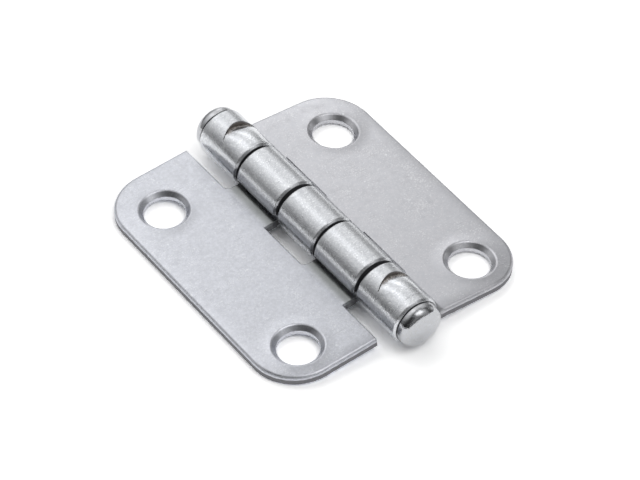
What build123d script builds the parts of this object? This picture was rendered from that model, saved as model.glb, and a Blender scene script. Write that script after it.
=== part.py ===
from build123d import *
import os
from math import acos, asin, degrees, sqrt

# A pressed steel hinge lying open: two leaves rolled round one headed pin.
# The pin axis is Y through the origin, +Z is up and the left leaf lies towards -X.
# Far means towards +Y, near means towards -Y, reach is measured out from the pin axis.
# All sizes are in millimetres.

# Leaves
leaf_length = 40.0
leaf_reach = 18.6
sheet = 1.2
corner_radius = 6.1
edge_roll = 0.4
leaf_drop = 1.0

# Screw holes
hole_spacing = 28.0
hole_reach = 12.75
hole_lead = -0.8
hole_radius = 2.67
sink_radius = 3.27
sink_angle = 90.0
sink_lip = 0.12

# Pin
pin_radius = 2.05
pin_clearance = 0.05
head_radius = 3.0
head_side = 1.2
head_height = 1.85
head_round = 1.15
head_clearance = 0.15

# Roll round the pin, and the bend that lifts it out of the flat
reverse_bend = 1.0
end_chamfer = 0.25

# Knuckles, and the notches they turn in
barrel_overhang = 0.25
end_knuckle = 7.75
middle_knuckle = 7.2
knuckle_gap = 0.45
side_shift = 0.1
right_lead = 0.15
left_lead = 1.1
notch_reach = 4.85
notch_corner = 0.7

# Crimps that hold the pin in the two end knuckles
crimp_along = 10.6
crimp_across = 5.0
crimp_ramp = 4.6
crimp_start = 0.01
crimp_curve = 3.9
crimp_turn = 9.0
crimp_gap = 0.08
tongue_sheet = 0.8
far_crimp_edge = 2.7
near_crimp_edge = 1.95

# The barrel is the sheet rolled round the pin
bore_radius = pin_radius + pin_clearance
barrel_radius = bore_radius + sheet
roll_middle = bore_radius + sheet / 2

# Each leaf hangs down until its outer edge meets the ground the barrel lies on
rest_tilt = degrees(asin((barrel_radius - leaf_drop - sheet) / leaf_reach))

# The flat bends down, then turns up into the roll, one arc tangent to the next
bend_middle = reverse_bend + sheet / 2
bend_z = -(leaf_drop + sheet / 2 + bend_middle)
bend_x = sqrt((bend_middle + roll_middle) ** 2 - bend_z**2)
bend_turn = degrees(acos(-bend_z / (bend_middle + roll_middle)))

# Knuckles along the pin, each as the place of its middle and its length
barrel_length = leaf_length + 2 * barrel_overhang
notch_length = (barrel_length - 2 * end_knuckle - middle_knuckle) / 2
side_knuckle = notch_length - 2 * knuckle_gap
end_middle = (barrel_length - end_knuckle) / 2
side_middle = (middle_knuckle + notch_length) / 2
far_side = side_middle + side_shift
near_side = -side_middle + side_shift
between_sides = 2 * side_middle - side_knuckle
far_cut = barrel_length / 2 - far_crimp_edge
near_cut = end_knuckle - barrel_length / 2 - near_crimp_edge

# Section of the rolled sheet for a leaf that lies towards local +X
with BuildSketch() as roll_section:
    with BuildLine():
        bore = CenterArc((0, 0), bore_radius, 0, 270 + bend_turn)
        back = CenterArc((0, 0), barrel_radius, 0, 270 + bend_turn)
        Line(bore @ 0, back @ 0)
        upper_bend = CenterArc((bend_x, bend_z), bend_middle + sheet / 2, 90, bend_turn)
        lower_bend = CenterArc((bend_x, bend_z), bend_middle - sheet / 2, 90, bend_turn)
        Line(upper_bend @ 0, lower_bend @ 0)
    make_face()

# What the crowned crimping punch takes off the top of a knuckle, with its edge at the origin
punch_z = barrel_radius - crimp_start - crimp_along
hub = crimp_along - crimp_across
with BuildPart() as crimp_cut:
    with Locations((0, -crimp_curve, barrel_radius)):
        Cylinder(crimp_curve, 2 * barrel_radius)
    with Locations((0, -crimp_ramp / 2, barrel_radius)):
        Box(4 * barrel_radius, crimp_ramp, 2 * barrel_radius, mode=Mode.INTERSECT)
    with Locations((0, -crimp_ramp, punch_z)):
        Torus(hub, crimp_across, rotation=(0, 90, 0), mode=Mode.SUBTRACT)

# The tongue of sheet that the punch drives down into the pin
with BuildPart() as tongue:
    with Locations((0, -crimp_curve, barrel_radius)):
        Cylinder(crimp_curve - crimp_gap, 2 * barrel_radius)
    with Locations((0, -crimp_ramp / 2, barrel_radius)):
        Box(4 * barrel_radius, crimp_ramp, 2 * barrel_radius, mode=Mode.INTERSECT)
    with Locations((0, -crimp_ramp, punch_z)):
        Torus(hub, crimp_across, rotation=(0, 90, 0), mode=Mode.INTERSECT)
    with Locations((0, -crimp_ramp, punch_z - tongue_sheet)):
        Cylinder(crimp_along, 4 * barrel_radius, rotation=(0, 90, 0), mode=Mode.SUBTRACT)
    Cylinder(barrel_radius, 4 * crimp_curve, rotation=(90, 0, 0), mode=Mode.INTERSECT)

# The dent that the tongue leaves in the pin
with BuildPart() as dent:
    with Locations((0, -crimp_curve, barrel_radius)):
        Cylinder(crimp_curve, 2 * barrel_radius)
    with Locations((0, -crimp_ramp / 2, barrel_radius)):
        Box(4 * barrel_radius, crimp_ramp, 2 * barrel_radius, mode=Mode.INTERSECT)
    with Locations((0, -crimp_ramp, punch_z - tongue_sheet - crimp_gap)):
        Cylinder(crimp_along, 4 * barrel_radius, rotation=(0, 90, 0), mode=Mode.SUBTRACT)

# Right leaf, flat, with the two end knuckles and the middle one
with BuildPart() as right_flat:
    for place, length in ((end_middle, end_knuckle), (0, middle_knuckle), (-end_middle, end_knuckle)):
        with BuildSketch(Plane((0, place, 0), x_dir=(1, 0, 0), z_dir=(0, -1, 0))):
            add(roll_section.sketch)
        extrude(amount=length / 2, both=True)
    rims = right_flat.edges().filter_by(GeomType.CIRCLE)
    chamfer(rims.filter_by(lambda rim: abs(rim.radius - barrel_radius) < 0.01), end_chamfer)
    with BuildSketch(Plane.XY.offset(-leaf_drop)) as right_outline:
        with Locations((bend_x, right_lead)):
            Rectangle(leaf_reach - bend_x, leaf_length, align=(Align.MIN, Align.CENTER))
        fillet(right_outline.vertices().group_by(Axis.X)[-1], corner_radius)
        with Locations((bend_x, side_middle), (bend_x, -side_middle)):
            Rectangle(
                notch_reach - bend_x,
                notch_length,
                align=(Align.MIN, Align.CENTER),
                mode=Mode.SUBTRACT,
            )
        inside = right_outline.vertices()
        inside = inside.filter_by_position(Axis.X, notch_reach - 0.01, notch_reach + 0.01)
        inside = inside.sort_by(Axis.Y)
        fillet([inside[0], inside[2]], notch_corner)
    extrude(amount=-sheet)
    top = right_flat.faces().filter_by(Axis.Z)
    top = top.filter_by_position(Axis.Z, -leaf_drop - 0.01, -leaf_drop + 0.01)
    fillet(top.edges().filter_by_position(Axis.X, notch_reach + 0.01, 2 * leaf_reach), edge_roll)
    with Locations(
        (hole_reach, right_lead + hole_lead + hole_spacing / 2, -leaf_drop),
        (hole_reach, right_lead + hole_lead - hole_spacing / 2, -leaf_drop),
    ):
        CounterSinkHole(hole_radius, sink_radius, counter_sink_angle=sink_angle)
    lips = right_flat.edges().filter_by(GeomType.CIRCLE)
    chamfer(lips.filter_by(lambda lip: abs(lip.radius - sink_radius) < 0.01), sink_lip)
    with Locations((0, far_cut, 0), (0, near_cut, 0)):
        add(crimp_cut.part, rotation=(0, crimp_turn, 0), mode=Mode.SUBTRACT)
        add(tongue.part, rotation=(0, crimp_turn, 0))

# Left leaf, flat, with the two knuckles between the others
with BuildPart() as left_flat:
    for place in (far_side, near_side):
        with BuildSketch(Plane((0, place, 0), x_dir=(-1, 0, 0), z_dir=(0, 1, 0))):
            add(roll_section.sketch)
        extrude(amount=side_knuckle / 2, both=True)
    rims = left_flat.edges().filter_by(GeomType.CIRCLE)
    chamfer(rims.filter_by(lambda rim: abs(rim.radius - barrel_radius) < 0.01), end_chamfer)
    with BuildSketch(Plane.XY.offset(-leaf_drop)) as left_outline:
        with Locations((-bend_x, left_lead)):
            Rectangle(leaf_reach - bend_x, leaf_length, align=(Align.MAX, Align.CENTER))
        fillet(left_outline.vertices().group_by(Axis.X)[0], corner_radius)
        tab = notch_reach - bend_x
        with Locations((-bend_x, side_shift)):
            Rectangle(tab, between_sides, align=(Align.MAX, Align.CENTER), mode=Mode.SUBTRACT)
        with Locations((-bend_x, far_side + side_knuckle / 2)):
            Rectangle(tab, leaf_length, align=(Align.MAX, Align.MIN), mode=Mode.SUBTRACT)
        with Locations((-bend_x, near_side - side_knuckle / 2)):
            Rectangle(tab, leaf_length, align=(Align.MAX, Align.MAX), mode=Mode.SUBTRACT)
        inside = left_outline.vertices()
        inside = inside.filter_by_position(Axis.X, -notch_reach - 0.01, -notch_reach + 0.01)
        inside = inside.sort_by(Axis.Y)
        fillet([inside[2], inside[4]], notch_corner)
    extrude(amount=-sheet)
    top = left_flat.faces().filter_by(Axis.Z)
    top = top.filter_by_position(Axis.Z, -leaf_drop - 0.01, -leaf_drop + 0.01)
    fillet(top.edges().filter_by_position(Axis.X, -2 * leaf_reach, -notch_reach - 0.01), edge_roll)
    with Locations(
        (-hole_reach, left_lead + hole_lead + hole_spacing / 2, -leaf_drop),
        (-hole_reach, left_lead + hole_lead - hole_spacing / 2, -leaf_drop),
    ):
        CounterSinkHole(hole_radius, sink_radius, counter_sink_angle=sink_angle)
    lips = left_flat.edges().filter_by(GeomType.CIRCLE)
    chamfer(lips.filter_by(lambda lip: abs(lip.radius - sink_radius) < 0.01), sink_lip)

# Pin with a low domed head at each end, dented where the crimps reach it
with BuildPart() as straight_pin:
    seat = barrel_length / 2 + head_clearance
    rim = seat + head_side
    crown = seat + head_height
    with BuildSketch() as pin_section:
        with BuildLine():
            Polyline((0, crown), (0, 0), (pin_radius, 0), (pin_radius, seat), (head_radius, seat))
            Line((head_radius, seat), (head_radius, rim))
            TangentArc((0, crown), (head_radius, rim), tangent=(1, 0))
        make_face()
        corner = pin_section.vertices().filter_by_position(Axis.Y, rim - 0.01, rim + 0.01)
        fillet(corner, head_round)
    revolve(axis=Axis.Y)
    mirror(about=Plane.XZ)
    with Locations((0, far_cut, 0), (0, near_cut, 0)):
        add(dent.part, rotation=(0, crimp_turn, 0), mode=Mode.SUBTRACT)

# The leaves swung down to rest, the pin turned with the right leaf that grips it
with BuildPart() as right_leaf:
    add(right_flat.part, rotation=(0, rest_tilt, 0))

with BuildPart() as left_leaf:
    add(left_flat.part, rotation=(0, -rest_tilt, 0))

with BuildPart() as hinge_pin:
    add(straight_pin.part, rotation=(0, rest_tilt, 0))

right_leaf.part.label = "right_leaf"
left_leaf.part.label = "left_leaf"
hinge_pin.part.label = "hinge_pin"

os.makedirs("parts", exist_ok=True)
export_step(right_leaf.part, "parts/right_leaf.step")
export_step(left_leaf.part, "parts/left_leaf.step")
export_step(hinge_pin.part, "parts/hinge_pin.step")
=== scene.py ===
import bpy
import random
from math import cos, pi, radians, sin, sqrt
from types import SimpleNamespace
from mathutils import Matrix, Vector


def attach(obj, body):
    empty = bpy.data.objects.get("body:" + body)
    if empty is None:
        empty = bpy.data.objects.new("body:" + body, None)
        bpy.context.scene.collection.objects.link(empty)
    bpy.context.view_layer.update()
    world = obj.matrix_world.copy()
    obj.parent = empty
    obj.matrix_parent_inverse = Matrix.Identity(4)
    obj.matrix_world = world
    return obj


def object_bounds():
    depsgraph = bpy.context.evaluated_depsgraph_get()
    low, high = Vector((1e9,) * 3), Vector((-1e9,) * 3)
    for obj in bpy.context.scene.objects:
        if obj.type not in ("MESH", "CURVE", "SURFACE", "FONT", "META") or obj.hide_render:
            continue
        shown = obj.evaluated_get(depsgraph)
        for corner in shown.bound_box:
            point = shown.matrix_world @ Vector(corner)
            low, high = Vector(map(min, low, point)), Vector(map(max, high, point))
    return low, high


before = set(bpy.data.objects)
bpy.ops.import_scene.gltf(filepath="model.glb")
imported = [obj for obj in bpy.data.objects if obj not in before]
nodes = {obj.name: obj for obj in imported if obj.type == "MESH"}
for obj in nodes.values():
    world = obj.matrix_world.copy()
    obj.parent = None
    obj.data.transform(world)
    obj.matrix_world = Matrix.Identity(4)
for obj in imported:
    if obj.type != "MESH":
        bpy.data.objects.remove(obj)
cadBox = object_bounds()
mm = 0.001
bpy.context.scene.view_settings.view_transform = "Standard"
print("hinge: frame loaded")

leafDroop = 3.3904  # degrees that each leaf leans down from the barrel to the table
knuckleRadius = 3.3 * mm


def toLinear(hexColour):
    channels = [int(hexColour[i:i + 2], 16) / 255 for i in (1, 3, 5)]
    return tuple(c / 12.92 if c <= 0.04045 else ((c + 0.055) / 1.055) ** 2.4 for c in channels) + (1.0,)


# Values fill a node's inputs in order, sockets fill them by name or number, and the rest are the node's own
# settings. A node given as a value is linked from its first output
def addNode(tree, kind, *values, sockets=None, **settings):
    node = tree.nodes.new(kind)
    for name, value in settings.items():
        setattr(node, name, value)
    for name, value in {**dict(enumerate(values)), **(sockets or {})}.items():
        if isinstance(value, bpy.types.Node):
            value = value.outputs[0]
        if isinstance(value, bpy.types.NodeSocket):
            tree.links.new(value, node.inputs[name])
        else:
            node.inputs[name].default_value = value
    return node


def openTree(owner):
    owner.use_nodes = True
    owner.node_tree.nodes.clear()
    return owner.node_tree


smooth = {"interpolation_type": "SMOOTHSTEP"}  # a Map Range node that eases in and out

# Camera, placed where the photograph was taken from
camera = {
    "azimuth": -37.111,  # degrees
    "elevation": 45.794,
    "roll": 0.933,
    "distance": 426.28 * mm,
    "target": (-1.233 * mm, -2.588 * mm, 0.0),
    "lens": 196.38,
    "sensor": 36.0,
    "clip": (0.01, 10.0),
}


def placeCamera(c):
    a, e, r = radians(c["azimuth"]), radians(c["elevation"]), radians(c["roll"])
    back = Vector((sin(a) * cos(e), -cos(a) * cos(e), sin(e)))
    side = Vector((cos(a), sin(a), 0))
    up = back.cross(side)
    right = side * cos(r) + up * sin(r)
    top = up * cos(r) - side * sin(r)
    data = bpy.data.cameras.new("camera")
    data.lens = c["lens"]
    data.sensor_width = c["sensor"]
    data.clip_start, data.clip_end = c["clip"]
    eye = bpy.data.objects.new("camera", data)
    bpy.context.scene.collection.objects.link(eye)
    turn = Matrix((right, top, back)).transposed().to_4x4()
    eye.matrix_world = Matrix.Translation(Vector(c["target"]) + back * c["distance"]) @ turn
    bpy.context.scene.camera = eye


placeCamera(camera)

# Studio: a white painted table, and soft boxes of light round a dark room
studio = {
    "table": "#f2f2f2",
    "tableSize": 1.2,  # metres
    "tableGap": 0.01 * mm,
    "tableLift": 1.05,  # times its own colour, added where the table is seen
    "white": (1.0, 1.0, 1.0, 1.0),
    "black": (0.0, 0.0, 0.0, 1.0),
    "room": 0.03,
    "boxes": (  # azimuth from +Y towards +X, elevation and spread in degrees, and strength
        (36, 8, 15.3, 0.85),
        (-36, 8, 15.3, 0.38),
        (95, 10, 11.0, 0.90),
        (0, 45, 15.3, 1.22),
        (45, 45, 15.3, 0.80),
        (-45, 45, 15.3, 0.78),
        (-8, 61, 7.5, 0.72),
        (37, 27, 6.0, 1.20),
        (68, 36, 8.0, 0.15),
        (147, 14, 9.0, 0.40),
        (150, 40, 13.0, 0.55),
        (150, 64, 13.0, 2.10),
        (170, 80, 9.0, 1.40),
        (-165, 20, 18.0, 0.26),
    ),
}


# The table is matt paint, and is lifted to white only where the camera or a reflection sees it
def makeTable(s):
    half = s["tableSize"] / 2
    z = cadBox[0].z - s["tableGap"]
    corners = [(-half, -half, z), (half, -half, z), (half, half, z), (-half, half, z)]
    mesh = bpy.data.meshes.new("table")
    mesh.from_pydata(corners, [], [(0, 1, 2, 3)])
    table = bpy.data.objects.new("table", mesh)
    bpy.context.scene.collection.objects.link(table)
    material = bpy.data.materials.new("paintedTable")
    tree = openTree(material)
    colour = toLinear(s["table"])
    lifted = tuple(c * s["tableLift"] for c in colour[:3]) + (1.0,)
    paint = addNode(tree, "ShaderNodeBsdfDiffuse", colour)
    lift = addNode(tree, "ShaderNodeBsdfDiffuse", lifted)
    none = addNode(tree, "ShaderNodeBsdfDiffuse", s["black"])
    path = addNode(tree, "ShaderNodeLightPath").outputs
    seen = addNode(tree, "ShaderNodeMath", path["Is Camera Ray"], path["Is Glossy Ray"], operation="MAXIMUM")
    seen = addNode(tree, "ShaderNodeMath", seen, path["Is Transmission Ray"], operation="MAXIMUM")
    shown = addNode(tree, "ShaderNodeMixShader", seen, none, lift)
    both = addNode(tree, "ShaderNodeAddShader", paint, shown)
    addNode(tree, "ShaderNodeOutputMaterial", both)
    mesh.materials.append(material)


def makeLight(s):
    world = bpy.data.worlds.new("studio")
    bpy.context.scene.world = world
    tree = openTree(world)
    where = addNode(tree, "ShaderNodeTexCoord").outputs["Generated"]
    total = s["room"]
    for azimuth, elevation, spread, strength in s["boxes"]:
        a, e = radians(azimuth), radians(elevation)
        facing = (sin(a) * cos(e), cos(a) * cos(e), sin(e))
        sharp = 1 / radians(spread) ** 2
        dot = addNode(tree, "ShaderNodeVectorMath", where, facing, operation="DOT_PRODUCT").outputs["Value"]
        off = addNode(tree, "ShaderNodeMath", dot, sharp, -sharp, operation="MULTIPLY_ADD")
        soft = addNode(tree, "ShaderNodeMath", off, operation="EXPONENT")
        total = addNode(tree, "ShaderNodeMath", soft, strength, total, operation="MULTIPLY_ADD")
    light = addNode(tree, "ShaderNodeBackground", s["white"], total)
    backdrop = addNode(tree, "ShaderNodeBackground", s["white"], 1.0)
    path = addNode(tree, "ShaderNodeLightPath").outputs
    pick = addNode(tree, "ShaderNodeMixShader", path["Is Camera Ray"], light, backdrop)
    addNode(tree, "ShaderNodeOutputWorld", pick)


makeTable(studio)
makeLight(studio)
print("hinge: camera, table and light")

# Zinc plated steel, pressed from cold rolled sheet and barrel plated: a bright but satin bluish white metal
# with a fine frosty grain, more polished where the knuckles were rolled, with faint clouds, pits and handling
# scratches
zinc = {
    "rollColour": "#cfd1d4",
    "flatRoughness": 0.34,
    "rollRoughness": 0.27,
    "roughnessSpread": 0.03,  # either way, in the clouds
    "roughnessClouds": (0.3, 0.7),  # levels of the cloud pattern, as in the other fades below
    "roll": (3.5 * mm, 5.0 * mm),  # from the pin's axis: rolled inside, flat outside
    "edge": 0.16 * mm,  # radius that sharp edges show
    "edgeSamples": 6,
    "cloud": 3.0 * mm,
    "wave": 7.0 * mm,
    "waveHeight": 0.05 * mm,
    "grain": 0.30 * mm,  # plating crystals are finer, these are as coarse as the render can show
    "grainHeight": 0.006 * mm,
    "rollGrain": 3.5,  # times stronger on the knuckles
    "mottle": 0.4 * mm,
    "mottleColour": "#b9bbc0",
    "mottleClouds": 0.35,  # how far the clouds gather it
    "mottleFade": (0.45, 0.90),
    "mottleShare": 0.58,
    "frost": 0.17 * mm,  # bright specks of plating, as coarse as they need to show
    "frostColour": "#f4f6f7",
    "frostClouds": 0.3,
    "frostFrom": (0.72, 0.86),
    "frostShare": (0.65, 0.42),  # on the knuckles and on the leaves
    "pit": 1.3 * mm,  # from one pit to the next
    "pitColour": "#eceef0",
    "pitSize": 0.13,  # part of that distance
    "pitRarity": 4.0,
    "pitShare": 0.5,
    "scratchColour": "#85888c",
    "scratchLength": 9.0 * mm,
    "scratchWidth": 0.09 * mm,
    "scratchTurns": (20, -48, 71),  # degrees
    "scratchFrom": (0.765, 0.825),
    "scratchClouds": (0.5, 0.6),
    "scratchShare": 0.35,
}


def startSurface(name):
    material = bpy.data.materials.new(name)
    tree = openTree(material)
    place = addNode(tree, "ShaderNodeTexCoord").outputs
    x, y, z = addNode(tree, "ShaderNodeSeparateXYZ", place["Object"]).outputs
    across = addNode(tree, "ShaderNodeCombineXYZ", x, 0.0, z)
    reach = addNode(tree, "ShaderNodeVectorMath", across, operation="LENGTH").outputs["Value"]
    return SimpleNamespace(
        material=material, tree=tree, where=place["Object"], facing=place["Normal"],
        x=x, y=y, reach=reach, metal=1.0)


def addPlating(s, z, tint, rollTint, roughness, frostShare):
    tree = s.tree
    s.flat = addNode(tree, "ShaderNodeMapRange", s.reach, *z["roll"], 0.0, 1.0, **smooth)
    s.cloud, mottle, grain, wave, frost = [
        addNode(tree, "ShaderNodeTexNoise", s.where, sockets={"Scale": 1 / z[name], "Detail": detail})
        for name, detail in (("cloud", 3.0), ("mottle", 3.0), ("grain", 2.0), ("wave", 1.0), ("frost", 2.0))]

    # Tint, darker in the mottle
    gathered = addNode(tree, "ShaderNodeMath", s.cloud, z["mottleClouds"], mottle, operation="MULTIPLY_ADD")
    mottled = addNode(tree, "ShaderNodeMapRange", gathered, *z["mottleFade"], z["mottleShare"], 0.0,
                      **smooth)
    plain = addNode(tree, "ShaderNodeMix", data_type="RGBA", sockets={
        0: s.flat, 6: toLinear(rollTint), 7: toLinear(tint)}).outputs[2]
    s.colour = addNode(tree, "ShaderNodeMix", data_type="RGBA", sockets={
        0: mottled, 6: plain, 7: toLinear(z["mottleColour"])}).outputs[2]

    # Gloss
    even = addNode(tree, "ShaderNodeMapRange", s.flat, 0.0, 1.0, *roughness, **smooth)
    uneven = addNode(tree, "ShaderNodeMapRange", s.cloud, *z["roughnessClouds"], -z["roughnessSpread"],
                     z["roughnessSpread"], **smooth)
    s.rough = addNode(tree, "ShaderNodeMath", even, uneven, operation="ADD")

    # Grain and slow waves
    grainHeight = addNode(tree, "ShaderNodeMapRange", s.flat, 0.0, 1.0, z["grainHeight"] * z["rollGrain"],
                          z["grainHeight"], **smooth)
    crystals = addNode(tree, "ShaderNodeMath", grain, grainHeight, operation="MULTIPLY")
    s.height = addNode(tree, "ShaderNodeMath", wave, z["waveHeight"], crystals, operation="MULTIPLY_ADD")

    # Bright specks
    gathered = addNode(tree, "ShaderNodeMath", s.cloud, z["frostClouds"], frost, operation="MULTIPLY_ADD")
    specks = addNode(tree, "ShaderNodeMapRange", gathered, *z["frostFrom"], 0.0, 1.0, **smooth)
    share = addNode(tree, "ShaderNodeMapRange", s.flat, 0.0, 1.0, *frostShare, **smooth)
    frosted = addNode(tree, "ShaderNodeMath", specks, share, operation="MULTIPLY")
    s.colour = addNode(tree, "ShaderNodeMix", data_type="RGBA", sockets={
        0: frosted, 6: s.colour, 7: toLinear(z["frostColour"])}).outputs[2]


# Pits and scratches from barrel plating and handling
def addMarks(s, z):
    tree = s.tree
    pits = addNode(tree, "ShaderNodeTexVoronoi", s.where, sockets={"Scale": 1 / z["pit"]}).outputs
    chosen = addNode(tree, "ShaderNodeSeparateXYZ", pits["Color"])
    rare = addNode(tree, "ShaderNodeMath", chosen, z["pitRarity"], operation="POWER")
    size = addNode(tree, "ShaderNodeMath", rare, z["pitSize"], operation="MULTIPLY")
    pit = addNode(tree, "ShaderNodeMath", pits["Distance"], size, operation="LESS_THAN")
    pit = addNode(tree, "ShaderNodeMath", pit, z["pitShare"], operation="MULTIPLY")
    s.colour = addNode(tree, "ShaderNodeMix", data_type="RGBA", sockets={
        0: pit, 6: s.colour, 7: toLinear(z["pitColour"])}).outputs[2]
    for turn in z["scratchTurns"]:
        lay = addNode(tree, "ShaderNodeMapping", s.where, sockets={
            "Rotation": (0, 0, radians(turn)),
            "Scale": (1 / z["scratchLength"], 1 / z["scratchWidth"], 1 / z["scratchLength"])})
        lines = addNode(tree, "ShaderNodeTexNoise", lay, sockets={"Scale": 1.0, "Detail": 0.0})
        line = addNode(tree, "ShaderNodeMapRange", lines, *z["scratchFrom"], 0.0, 1.0, **smooth)
        patch = addNode(tree, "ShaderNodeMapRange", s.cloud, *z["scratchClouds"], 0.0, z["scratchShare"],
                        **smooth)
        scratch = addNode(tree, "ShaderNodeMath", line, patch, operation="MULTIPLY")
        s.colour = addNode(tree, "ShaderNodeMix", data_type="RGBA", sockets={
            0: scratch, 6: s.colour, 7: toLinear(z["scratchColour"])}).outputs[2]


# What the press does to a leaf: the sheet stands a little proud round each hole, is crowned from edge to edge
# and sags at its rim. The blanked edge is smooth above, where the punch went in, and broken and dull below
pressing = {
    "swell": 0.13 * mm,
    "swellReach": (3.35 * mm, 5.1 * mm),  # from the middle of a hole
    "holeLevel": -2.2 * mm,
    "crown": (0.004 / mm, 0.001 / mm),  # across and along the pin
    "leafReach": 18.49 * mm,
    "halfLength": 20.0 * mm,
    "corner": 6.1 * mm,
    "sagWidth": 1.9 * mm,
    "sag": 0.035 / mm,
    "sheetTop": -1.0 * mm,  # height over the pin's axis, square to the leaf
    "ragged": 0.8 * mm,  # the line between smooth and broken wanders
    "raggedHeight": 0.25 * mm,
    "dragFrom": (0.10 * mm, 0.28 * mm),  # below the top of the sheet
    "dragRoughness": 0.22,  # more than on the face
    "brokenFrom": (0.55 * mm, 0.62 * mm),
    "brokenTo": (1.3 * mm, 1.2 * mm),
    "brokenColour": "#7f7f82",
    "brokenRoughness": 0.6,
    "endFacing": (0.9, 0.99),  # the ends of the knuckles are cut too, and face along the pin
    "endRoll": (0.5, 0.0),  # part of flat, so only where the sheet is rolled
}

# Painted shade in the corner under the left knuckles, where the plating is also thin and rougher: the colour
# there is darkened
creviceShade = {
    "outside": (5.3 * mm, 3.9 * mm),  # from the pin's axis
    "inside": (3.32 * mm, 3.42 * mm),
    # painted shade: the colour of the darkened corner
    "colour": "#858887",
    "share": 0.85,
    "roughness": 0.15,
}


def pressLeaf(s, p, leaf):
    tree = s.tree
    s.outside = 1.0
    for x, y in leaf["holes"]:
        away = addNode(tree, "ShaderNodeVectorMath", s.where, (x, y, p["holeLevel"]),
                       operation="DISTANCE").outputs["Value"]
        near = addNode(tree, "ShaderNodeMapRange", away, *p["swellReach"], 1.0, 0.0)
        near = addNode(tree, "ShaderNodeMath", near, near, operation="MULTIPLY")
        s.height = addNode(tree, "ShaderNodeMath", near, p["swell"], s.height, operation="MULTIPLY_ADD")
        off = addNode(tree, "ShaderNodeMath", away, p["swellReach"][0], operation="GREATER_THAN")
        s.outside = addNode(tree, "ShaderNodeMath", off, s.outside, operation="MULTIPLY")
    for place, centre, crown in zip((s.x, s.y), leaf["middle"], p["crown"]):
        off = addNode(tree, "ShaderNodeMath", place, centre, operation="SUBTRACT")
        drop = addNode(tree, "ShaderNodeMath", off, off, operation="MULTIPLY")
        drop = addNode(tree, "ShaderNodeMath", drop, s.flat, operation="MULTIPLY")
        s.height = addNode(tree, "ShaderNodeMath", drop, -crown, s.height, operation="MULTIPLY_ADD")

    # Distance from the rounded outline, for the sagging rim
    rim = []
    for place, centre, size in ((s.x, 0.0, p["leafReach"]), (s.y, leaf["middle"][1], p["halfLength"])):
        off = addNode(tree, "ShaderNodeMath", place, centre, operation="SUBTRACT")
        off = addNode(tree, "ShaderNodeMath", off, operation="ABSOLUTE")
        off = addNode(tree, "ShaderNodeMath", off, size - p["corner"], operation="SUBTRACT")
        rim.append(addNode(tree, "ShaderNodeMath", off, 0.0, operation="MAXIMUM"))
    rim = addNode(tree, "ShaderNodeCombineXYZ", *rim)
    rim = addNode(tree, "ShaderNodeVectorMath", rim, operation="LENGTH").outputs["Value"]
    rim = addNode(tree, "ShaderNodeMath", rim, p["corner"] - p["sagWidth"], operation="SUBTRACT")
    rim = addNode(tree, "ShaderNodeMath", rim, 0.0, operation="MAXIMUM")
    rim = addNode(tree, "ShaderNodeMath", rim, rim, operation="MULTIPLY")
    rim = addNode(tree, "ShaderNodeMath", rim, s.flat, operation="MULTIPLY")
    s.height = addNode(tree, "ShaderNodeMath", rim, -p["sag"], s.height, operation="MULTIPLY_ADD")


def shadeCrevice(s, c):
    tree = s.tree
    outer, inner = [
        addNode(tree, "ShaderNodeMapRange", s.reach, *c[name], 0.0, 1.0, **smooth)
        for name in ("outside", "inside")]
    shade = addNode(tree, "ShaderNodeMath", outer, inner, operation="MULTIPLY")
    share = addNode(tree, "ShaderNodeMath", shade, c["share"], operation="MULTIPLY")
    # Painted shade: the colour darkens into the corner under the knuckles
    s.colour = addNode(tree, "ShaderNodeMix", data_type="RGBA", sockets={
        0: share, 6: s.colour, 7: toLinear(c["colour"])}).outputs[2]
    s.rough = addNode(tree, "ShaderNodeMath", shade, c["roughness"], s.rough, operation="MULTIPLY_ADD")


def cutEdges(s, p, leaf):
    tree = s.tree
    lean = radians(leaf["lean"])
    up = (sin(lean), 0, cos(lean))
    level = addNode(tree, "ShaderNodeVectorMath", s.where, up, operation="DOT_PRODUCT").outputs["Value"]
    depth = addNode(tree, "ShaderNodeMath", p["sheetTop"], level, operation="SUBTRACT")
    ragged = addNode(tree, "ShaderNodeTexNoise", s.where, sockets={"Scale": 1 / p["ragged"], "Detail": 2.0})
    depth = addNode(tree, "ShaderNodeMath", ragged, p["raggedHeight"], depth, operation="MULTIPLY_ADD")
    below, above, dragged = [
        addNode(tree, "ShaderNodeMapRange", depth, *p[name], 0.0, 1.0, **smooth)
        for name in ("brokenFrom", "brokenTo", "dragFrom")]
    broken = addNode(tree, "ShaderNodeMath", s.flat, above, operation="MULTIPLY")
    broken = addNode(tree, "ShaderNodeMath", below, broken, operation="MULTIPLY")
    broken = addNode(tree, "ShaderNodeMath", broken, s.outside, operation="MULTIPLY")
    leafOnly = addNode(tree, "ShaderNodeMath", s.flat, s.outside, operation="MULTIPLY")
    dragged = addNode(tree, "ShaderNodeMath", leafOnly, dragged, operation="MULTIPLY")
    s.rough = addNode(tree, "ShaderNodeMath", dragged, p["dragRoughness"], s.rough, operation="MULTIPLY_ADD")
    facing = addNode(tree, "ShaderNodeSeparateXYZ", s.facing).outputs["Y"]
    facing = addNode(tree, "ShaderNodeMath", facing, operation="ABSOLUTE")
    endFace = addNode(tree, "ShaderNodeMapRange", facing, *p["endFacing"], 0.0, 1.0, **smooth)
    rolled = addNode(tree, "ShaderNodeMapRange", s.flat, *p["endRoll"], 0.0, 1.0, **smooth)
    endFace = addNode(tree, "ShaderNodeMath", endFace, rolled, operation="MULTIPLY")
    broken = addNode(tree, "ShaderNodeMath", broken, endFace, operation="MAXIMUM")
    s.colour = addNode(tree, "ShaderNodeMix", data_type="RGBA", sockets={
        0: broken, 6: s.colour, 7: toLinear(p["brokenColour"])}).outputs[2]
    s.rough = addNode(tree, "ShaderNodeMix", data_type="FLOAT", sockets={
        0: broken, 2: s.rough, 3: p["brokenRoughness"]})
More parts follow.
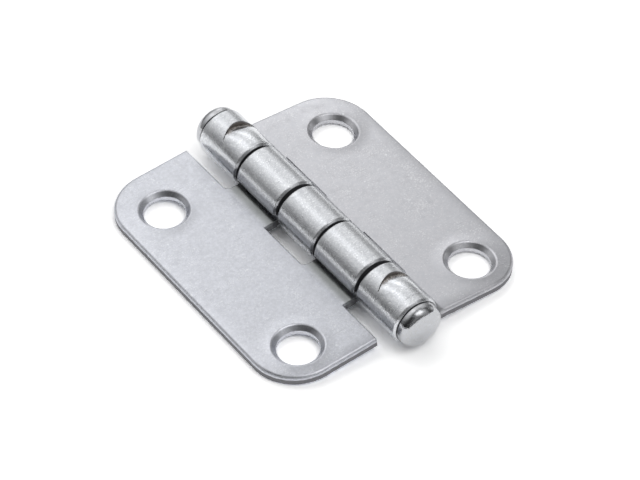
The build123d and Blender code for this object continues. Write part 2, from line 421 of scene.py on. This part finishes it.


# Two crimps in the end knuckles: the punch shears the sheet, so the step is dull and dark, and its colour is
# also painted darker as painted shade, where it faces away from the light. The lip of the tongue is torn,
# while the ramp behind it is burnished by the punch
crimp = {
    "cuts": (17.55 * mm, -14.45 * mm),  # far and near, along the pin
    "turn": 9.0 + leafDroop,  # degrees from straight up, towards +X
    "curve": 3.9 * mm,  # radius of the cut
    "ramp": 4.6 * mm,
    "upper": (0.4 * mm, 0.9 * mm),  # above the pin's axis
    "back": (-4.8 * mm, -3.4 * mm),  # from the cut, where the ramp begins
    "front": (0.5 * mm, 0.1 * mm),
    "sunk": (3.28 * mm, 3.05 * mm),  # from the pin's axis, under the skin of the knuckle
    "stepFade": (0.07 * mm, 0.03 * mm),
    "stepToneAndShade": "#857e7a",
    "stepRoughness": 0.55,
    "rampFade": (0.2 * mm, 0.9 * mm),
    "rampRoughness": 0.17,
    "torn": 0.75 * mm,
    "tornFade": (0.1 * mm, -0.15 * mm),
    "tornUneven": (0.25, 0.75),
    "tornLeast": 0.35,  # part of that width
    "tornColour": "#e2deda",
    "tornRoughness": 0.5,
    "tornMetal": 0.35,  # crumbled metal scatters light as a matt grey
    "tearWidth": 0.16 * mm,
    "tearLength": 0.9 * mm,
    "tearHeight": 0.09 * mm,
    "tearFade": (0.38, 0.62),
    "burrColour": "#f0ebe8",
    "burrRoughness": 0.75,
    "burrFade": (0.3, 0.7),
}


def crimpAxes(c):
    turn = radians(c["turn"])
    return Vector((cos(turn), 0, -sin(turn))), Vector((sin(turn), 0, cos(turn)))


def addCrimps(s, c, rollRoughness):
    tree = s.tree
    side, above = [
        addNode(tree, "ShaderNodeVectorMath", s.where, axis, operation="DOT_PRODUCT").outputs["Value"]
        for axis in crimpAxes(c)]
    isFar = addNode(tree, "ShaderNodeMath", s.y, 0.0, operation="GREATER_THAN")
    farCut, nearCut = c["cuts"]
    cut = addNode(tree, "ShaderNodeMath", isFar, farCut - nearCut, nearCut, operation="MULTIPLY_ADD")
    along = addNode(tree, "ShaderNodeMath", s.y, cut, operation="SUBTRACT")

    # How far inside the curved cut a point lies
    fromCentre = addNode(tree, "ShaderNodeMath", along, c["curve"], operation="ADD")
    spread = addNode(tree, "ShaderNodeCombineXYZ", side, fromCentre)
    spread = addNode(tree, "ShaderNodeVectorMath", spread, operation="LENGTH").outputs["Value"]
    inside = addNode(tree, "ShaderNodeMath", c["curve"], spread, operation="SUBTRACT")

    sunk, upper, back, front, stepFace, burnished = [
        addNode(tree, "ShaderNodeMapRange", value, *c[name], 0.0, 1.0, **smooth)
        for value, name in ((s.reach, "sunk"), (above, "upper"), (along, "back"), (along, "front"),
                            (inside, "stepFade"), (inside, "rampFade"))]
    near = addNode(tree, "ShaderNodeMath", back, front, operation="MULTIPLY")
    near = addNode(tree, "ShaderNodeMath", upper, near, operation="MULTIPLY")
    nearSunk = addNode(tree, "ShaderNodeMath", near, sunk, operation="MULTIPLY")
    stepFace = addNode(tree, "ShaderNodeMath", nearSunk, stepFace, operation="MULTIPLY")
    burnished = addNode(tree, "ShaderNodeMath", near, burnished, operation="MULTIPLY")

    # Torn rim of uneven width
    uneven = addNode(tree, "ShaderNodeTexNoise", s.where, sockets={
        "Scale": 1 / c["tearWidth"], "Detail": 1.0})
    width = addNode(tree, "ShaderNodeMapRange", uneven, *c["tornUneven"], c["tornLeast"], 1.0, **smooth)
    width = addNode(tree, "ShaderNodeMath", width, c["torn"], operation="MULTIPLY")
    past = addNode(tree, "ShaderNodeMath", inside, width, operation="SUBTRACT")
    torn = addNode(tree, "ShaderNodeMapRange", past, *c["tornFade"], 0.0, 1.0, **smooth)
    torn = addNode(tree, "ShaderNodeMath", nearSunk, torn, operation="MULTIPLY")

    s.rough = addNode(tree, "ShaderNodeMath", burnished, c["rampRoughness"] - rollRoughness, s.rough,
                      operation="MULTIPLY_ADD")
    for share, value in ((torn, c["tornRoughness"]), (stepFace, c["stepRoughness"])):
        s.rough = addNode(tree, "ShaderNodeMix", data_type="FLOAT", sockets={0: share, 2: s.rough, 3: value})

    # Tears run along the pin
    lay = addNode(tree, "ShaderNodeMapping", s.where, sockets={
        "Scale": (1 / c["tearWidth"], 1 / c["tearLength"], 1 / c["tearWidth"])})
    tear = addNode(tree, "ShaderNodeTexNoise", lay, sockets={"Scale": 1.0, "Detail": 2.0})
    light = addNode(tree, "ShaderNodeMapRange", tear, *c["tearFade"], 0.0, 1.0, **smooth)
    crumbled = addNode(tree, "ShaderNodeMix", data_type="RGBA", sockets={
        0: light, 6: toLinear(c["stepToneAndShade"]), 7: toLinear(c["tornColour"])}).outputs[2]
    # The step's colour is partly the sheared steel's own tone and partly painted shade
    for share, colour in ((torn, crumbled), (stepFace, toLinear(c["stepToneAndShade"]))):
        s.colour = addNode(tree, "ShaderNodeMix", data_type="RGBA", sockets={
            0: share, 6: s.colour, 7: colour}).outputs[2]
    deep = addNode(tree, "ShaderNodeMath", tear, torn, operation="MULTIPLY")
    s.height = addNode(tree, "ShaderNodeMath", deep, c["tearHeight"], s.height, operation="MULTIPLY_ADD")
    s.metal = addNode(tree, "ShaderNodeMath", torn, c["tornMetal"] - 1, 1.0, operation="MULTIPLY_ADD")


# The pin's heads are shallow domes, with a coarse mesh at the very top: there the true dome's normal is used
def roundHeads(s, pin):
    tree = s.tree
    end = addNode(tree, "ShaderNodeMath", s.y, operation="SIGN")
    end = addNode(tree, "ShaderNodeMath", end, pin["crown"] - pin["curve"], operation="MULTIPLY")
    centre = addNode(tree, "ShaderNodeCombineXYZ", 0.0, end)
    out = addNode(tree, "ShaderNodeVectorMath", s.where, centre, operation="SUBTRACT")
    out = addNode(tree, "ShaderNodeVectorTransform", out, vector_type="NORMAL", convert_from="OBJECT",
                  convert_to="WORLD")
    out = addNode(tree, "ShaderNodeVectorMath", out, operation="NORMALIZE")
    along = addNode(tree, "ShaderNodeMath", s.y, operation="ABSOLUTE")
    onTop = addNode(tree, "ShaderNodeMath", along, pin["crown"] - pin["topHeight"], operation="GREATER_THAN")
    top = addNode(tree, "ShaderNodeMapRange", s.reach, *pin["top"], 0.0, 1.0, **smooth)
    onTop = addNode(tree, "ShaderNodeMath", onTop, top, operation="MULTIPLY")
    return addNode(tree, "ShaderNodeMix", data_type="VECTOR", sockets={
        0: onTop, 4: s.normal, 5: out}).outputs[1]


def closeSurface(s):
    bump = addNode(s.tree, "ShaderNodeBump", sockets={
        "Height": s.height, "Distance": 1.0, "Strength": 1.0, "Normal": s.normal})
    shader = addNode(s.tree, "ShaderNodeBsdfPrincipled", sockets={
        "Base Color": s.colour, "Metallic": s.metal, "Roughness": s.rough, "Normal": bump})
    addNode(s.tree, "ShaderNodeOutputMaterial", shader)
    return s.material


# The leaves: the left one's tint is a little bluer, and painted brighter as painted light, since it catches
# more of the light
leftLeaf = {
    "finish": "zincPlatedLeftLeaf",
    # painted light: paler than the right leaf's tint
    "tint": "#d0d2d9",
    "lean": -leafDroop,
    "middle": (-11.5 * mm, 1.1 * mm),
    "holes": ((-12.67 * mm, 14.3 * mm), (-12.67 * mm, -13.7 * mm)),
}
rightLeaf = {
    "finish": "zincPlatedRightLeaf",
    "tint": "#c7c7cb",
    "lean": leafDroop,
    "middle": (11.5 * mm, 0.15 * mm),
    "holes": ((12.67 * mm, 13.35 * mm), (12.67 * mm, -14.65 * mm)),
}
# The pin is drawn wire with upset heads, so it is smoother and darker than the sheet
headedPin = {
    "finish": "zincPlatedHeadedWire",
    "tint": "#b3b4b6",
    "roughness": 0.17,
    "frostShare": 0.2,
    "crown": 22.25 * mm,
    "curve": 7.248 * mm,
    "top": (1.4 * mm, 1.0 * mm),  # from the pin's axis
    "topHeight": 0.3 * mm,
}


def finishLeaf(leaf, z):
    s = startSurface(leaf["finish"])
    addPlating(s, z, leaf["tint"], z["rollColour"], (z["rollRoughness"], z["flatRoughness"]), z["frostShare"])
    addMarks(s, z)
    pressLeaf(s, pressing, leaf)
    if leaf is leftLeaf:
        shadeCrevice(s, creviceShade)
    cutEdges(s, pressing, leaf)
    if leaf is rightLeaf:
        addCrimps(s, crimp, z["rollRoughness"])
    s.normal = addNode(s.tree, "ShaderNodeBevel", z["edge"], samples=z["edgeSamples"])
    return closeSurface(s)


def finishPin(pin, z):
    s = startSurface(pin["finish"])
    addPlating(s, z, pin["tint"], pin["tint"], (pin["roughness"],) * 2, (pin["frostShare"],) * 2)
    addMarks(s, z)
    s.normal = addNode(s.tree, "ShaderNodeBevel", z["edge"], samples=z["edgeSamples"])
    s.normal = roundHeads(s, pin)
    return closeSurface(s)


finishes = {
    "left_leaf": finishLeaf(leftLeaf, zinc),
    "right_leaf": finishLeaf(rightLeaf, zinc),
    "hinge_pin": finishPin(headedPin, zinc),
}
for name, material in finishes.items():
    nodes[name].material_slots[0].material = material
print("hinge: metal")

# Crimped tongues: each ramp is crowned and runs smoothly out of the knuckle, and its lip is torn
tongue = {
    "punchAlong": 10.6 * mm,  # the punch's two curves
    "punchAcross": 5.0 * mm,
    "punchStart": 0.01 * mm,
    "lipCurve": 3.82 * mm,
    "halfWidth": 3.0 * mm,
    "shares": (1.05, 0.82),  # of the punch's depth, far and near: the sheet springs back
    "soften": 0.5 * mm,
    "proud": 0.008 * mm,
    "startBehind": 0.15 * mm,
    "fallSlope": 1.5,
    "fall": 0.8 / mm,  # outside the crimp the tongue dips under the knuckle
    "under": 0.5 * mm,
    "columns": 72,
    "rows": 44,
    "rowsGather": 1.6,  # rows lie closer together towards the lip
    "ragged": 0.06 * mm,
    "raggedReach": 0.22 * mm,
    "raggedAlong": 0.3,
    "sharpAngle": 35,  # degrees
    "seed": 5,
}

# Burrs: small cones crowded along the deep part of the lip
burrs = {
    "from": 0.6 * mm,  # depth of the cut
    "sink": (0.04 * mm, 0.06 * mm),  # back along the pin, and down
    "spacing": 0.1 * mm,
    "sides": 5,
    "height": 0.42 * mm,
    "width": 0.1 * mm,
    "lean": 0.35,  # radians either way
    "smallest": 0.35,
    "seed": 11,
}


# Height of the knuckle's skin, and how deep the punch goes under it
def punchedDepth(t, x, y):
    skin = sqrt(knuckleRadius ** 2 - x * x)
    fromStart = y + crimp["ramp"]
    if fromStart < 0:
        return skin, t["fallSlope"] * fromStart
    curve = t["punchAlong"] - t["punchAcross"] + sqrt(t["punchAcross"] ** 2 - x * x)
    floor = knuckleRadius - t["punchStart"] - t["punchAlong"] + sqrt(curve ** 2 - fromStart ** 2)
    return skin, skin - floor


def makeTongue(name, t, cut, share, rng):
    side, above = crimpAxes(crimp)
    columns, rows = t["columns"], t["rows"]
    burrAlong, burrDown = burrs["sink"]
    teeth = [rng.uniform(-1, 1) for column in range(columns + 1)]
    top, bottom, lip = [], [], []
    for row in range(rows + 1):
        part = 1 - (1 - row / rows) ** t["rowsGather"]
        for column in range(columns + 1):
            x = t["halfWidth"] * (2 * column / columns - 1)
            end = sqrt(t["lipCurve"] ** 2 - x * x) - crimp["curve"]
            start = -crimp["ramp"] - t["startBehind"]
            y = start + (end - start) * part
            skin, depth = punchedDepth(t, x, y)
            depth, spare = max(depth, 0.0), min(depth, 0.0)
            sunk = share * (1 - (x / t["halfWidth"]) ** 2) * depth ** 2 / (depth + t["soften"])
            z = skin + t["proud"] - t["fall"] * spare ** 2 - sunk
            near = max(0.0, 1 - (end - y) / t["raggedReach"]) * min(1.0, depth / t["soften"])
            z += t["ragged"] * teeth[column] * near
            jut = t["raggedAlong"] * t["ragged"] * teeth[column - 1] * near
            top.append(side * x + above * z + Vector((0, cut + y + jut, 0)))
            bottom.append(side * x + above * (skin - depth - t["under"]) + Vector((0, cut + y, 0)))
            if row == rows and depth > burrs["from"]:
                lip.append(side * x + above * (z - burrDown) + Vector((0, cut + y - burrAlong, 0)))

    # Top and bottom faces, then a wall round them
    wide = columns + 1
    below = len(top)
    faces = []
    for row in range(rows):
        for column in range(columns):
            a = row * wide + column
            faces.append((a, a + 1, a + wide + 1, a + wide))
            faces.append((below + a, below + a + wide, below + a + wide + 1, below + a + 1))
    border = list(range(wide))
    border += [row * wide + columns for row in range(1, rows + 1)]
    border += [rows * wide + column for column in range(columns - 1, -1, -1)]
    border += [row * wide for row in range(rows - 1, 0, -1)]
    for a, b in zip(border, border[1:] + border[:1]):
        faces.append((b, a, below + a, below + b))
    mesh = bpy.data.meshes.new(name)
    mesh.from_pydata(top + bottom, [], faces)
    mesh.shade_smooth()
    mesh.set_sharp_from_angle(angle=radians(t["sharpAngle"]))
    return mesh, lip


def burrTree(material):
    tree = bpy.data.node_groups.new("tornBurrs", "GeometryNodeTree")
    tree.interface.new_socket(name="Lip", in_out="INPUT", socket_type="NodeSocketGeometry")
    for name in ("Spacing", "Height", "Width", "Smallest"):
        tree.interface.new_socket(name=name, in_out="INPUT", socket_type="NodeSocketFloat")
    for name in ("Least Turn", "Most Turn"):
        tree.interface.new_socket(name=name, in_out="INPUT", socket_type="NodeSocketVector")
    for name in ("Sides", "Seed"):
        tree.interface.new_socket(name=name, in_out="INPUT", socket_type="NodeSocketInt")
    tree.interface.new_socket(name="Burrs", in_out="OUTPUT", socket_type="NodeSocketGeometry")
    given = addNode(tree, "NodeGroupInput").outputs
    line = addNode(tree, "GeometryNodeMeshToCurve", given["Lip"])
    even = addNode(tree, "GeometryNodeResampleCurve", line, mode="LENGTH", sockets={
        "Length": given["Spacing"]})
    cone = addNode(tree, "GeometryNodeMeshCone", sockets={
        "Vertices": given["Sides"], "Radius Bottom": given["Width"], "Depth": given["Height"]})
    turned = addNode(tree, "FunctionNodeRandomValue", given["Least Turn"], given["Most Turn"],
                     data_type="FLOAT_VECTOR", sockets={"Seed": given["Seed"]})
    grown = addNode(tree, "FunctionNodeRandomValue", data_type="FLOAT", sockets={
        2: given["Smallest"], 3: 1.0, "Seed": given["Seed"]})
    placed = addNode(tree, "GeometryNodeInstanceOnPoints", even, sockets={
        "Instance": cone, "Rotation": turned, "Scale": grown.outputs[1]})
    solid = addNode(tree, "GeometryNodeRealizeInstances", placed)
    coated = addNode(tree, "GeometryNodeSetMaterial", solid, sockets={"Material": material})
    addNode(tree, "NodeGroupOutput", coated)
    return tree


def makeBurrs(name, b, lip, tree):
    mesh = bpy.data.meshes.new(name)
    mesh.from_pydata(lip, [(i, i + 1) for i in range(len(lip) - 1)], [])
    piece = bpy.data.objects.new(name, mesh)
    bpy.context.scene.collection.objects.link(piece)
    turn = radians(crimp["turn"])
    values = {
        "Spacing": b["spacing"], "Height": b["height"], "Width": b["width"], "Smallest": b["smallest"],
        "Sides": b["sides"], "Seed": b["seed"],
        "Least Turn": (-b["lean"], turn - b["lean"], -pi), "Most Turn": (b["lean"], turn + b["lean"], pi)}
    grow = piece.modifiers.new("burrs", "NODES")
    grow.node_group = tree
    for socket in tree.interface.items_tree:
        if socket.in_out == "INPUT" and socket.name in values:
            grow[socket.identifier] = values[socket.name]
    solid = bpy.data.meshes.new_from_object(piece.evaluated_get(bpy.context.evaluated_depsgraph_get()))
    piece.modifiers.remove(grow)
    piece.data = solid
    return piece


# Fractured zinc plated steel: crumbled, so it scatters light as a pale matt grey
def makeFracture(c):
    material = bpy.data.materials.new("fracturedSteel")
    tree = openTree(material)
    where = addNode(tree, "ShaderNodeTexCoord").outputs["Object"]
    crumbs = addNode(tree, "ShaderNodeTexNoise", where, sockets={
        "Scale": 1 / c["tearWidth"], "Detail": 2.0})
    # The darker crumbs reuse the step's colour, which is partly painted shade
    colour = addNode(tree, "ShaderNodeMix", data_type="RGBA", sockets={
        0: crumbs, 6: toLinear(c["stepToneAndShade"]), 7: toLinear(c["burrColour"])}).outputs[2]
    rough = addNode(tree, "ShaderNodeMapRange", crumbs, *c["burrFade"], c["tornRoughness"],
                    c["burrRoughness"], **smooth)
    height = addNode(tree, "ShaderNodeMath", crumbs, c["tearHeight"], operation="MULTIPLY")
    bump = addNode(tree, "ShaderNodeBump", sockets={"Height": height, "Distance": 1.0})
    shader = addNode(tree, "ShaderNodeBsdfPrincipled", sockets={
        "Base Color": colour, "Metallic": c["tornMetal"], "Roughness": rough, "Normal": bump})
    addNode(tree, "ShaderNodeOutputMaterial", shader)
    return material


rng = random.Random(tongue["seed"])
tree = burrTree(makeFracture(crimp))
for place, cut, share in zip(("Far", "Near"), crimp["cuts"], tongue["shares"]):
    mesh, lip = makeTongue("tongue" + place, tongue, cut, share, rng)
    piece = bpy.data.objects.new("tongue" + place, mesh)
    bpy.context.scene.collection.objects.link(piece)
    mesh.materials.append(finishes["right_leaf"])
    torn = makeBurrs("tornLip" + place, burrs, lip, tree)
    for solid in (piece, torn):
        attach(solid, "right_leaf")
    print("hinge: tongue", place, len(torn.data.vertices))
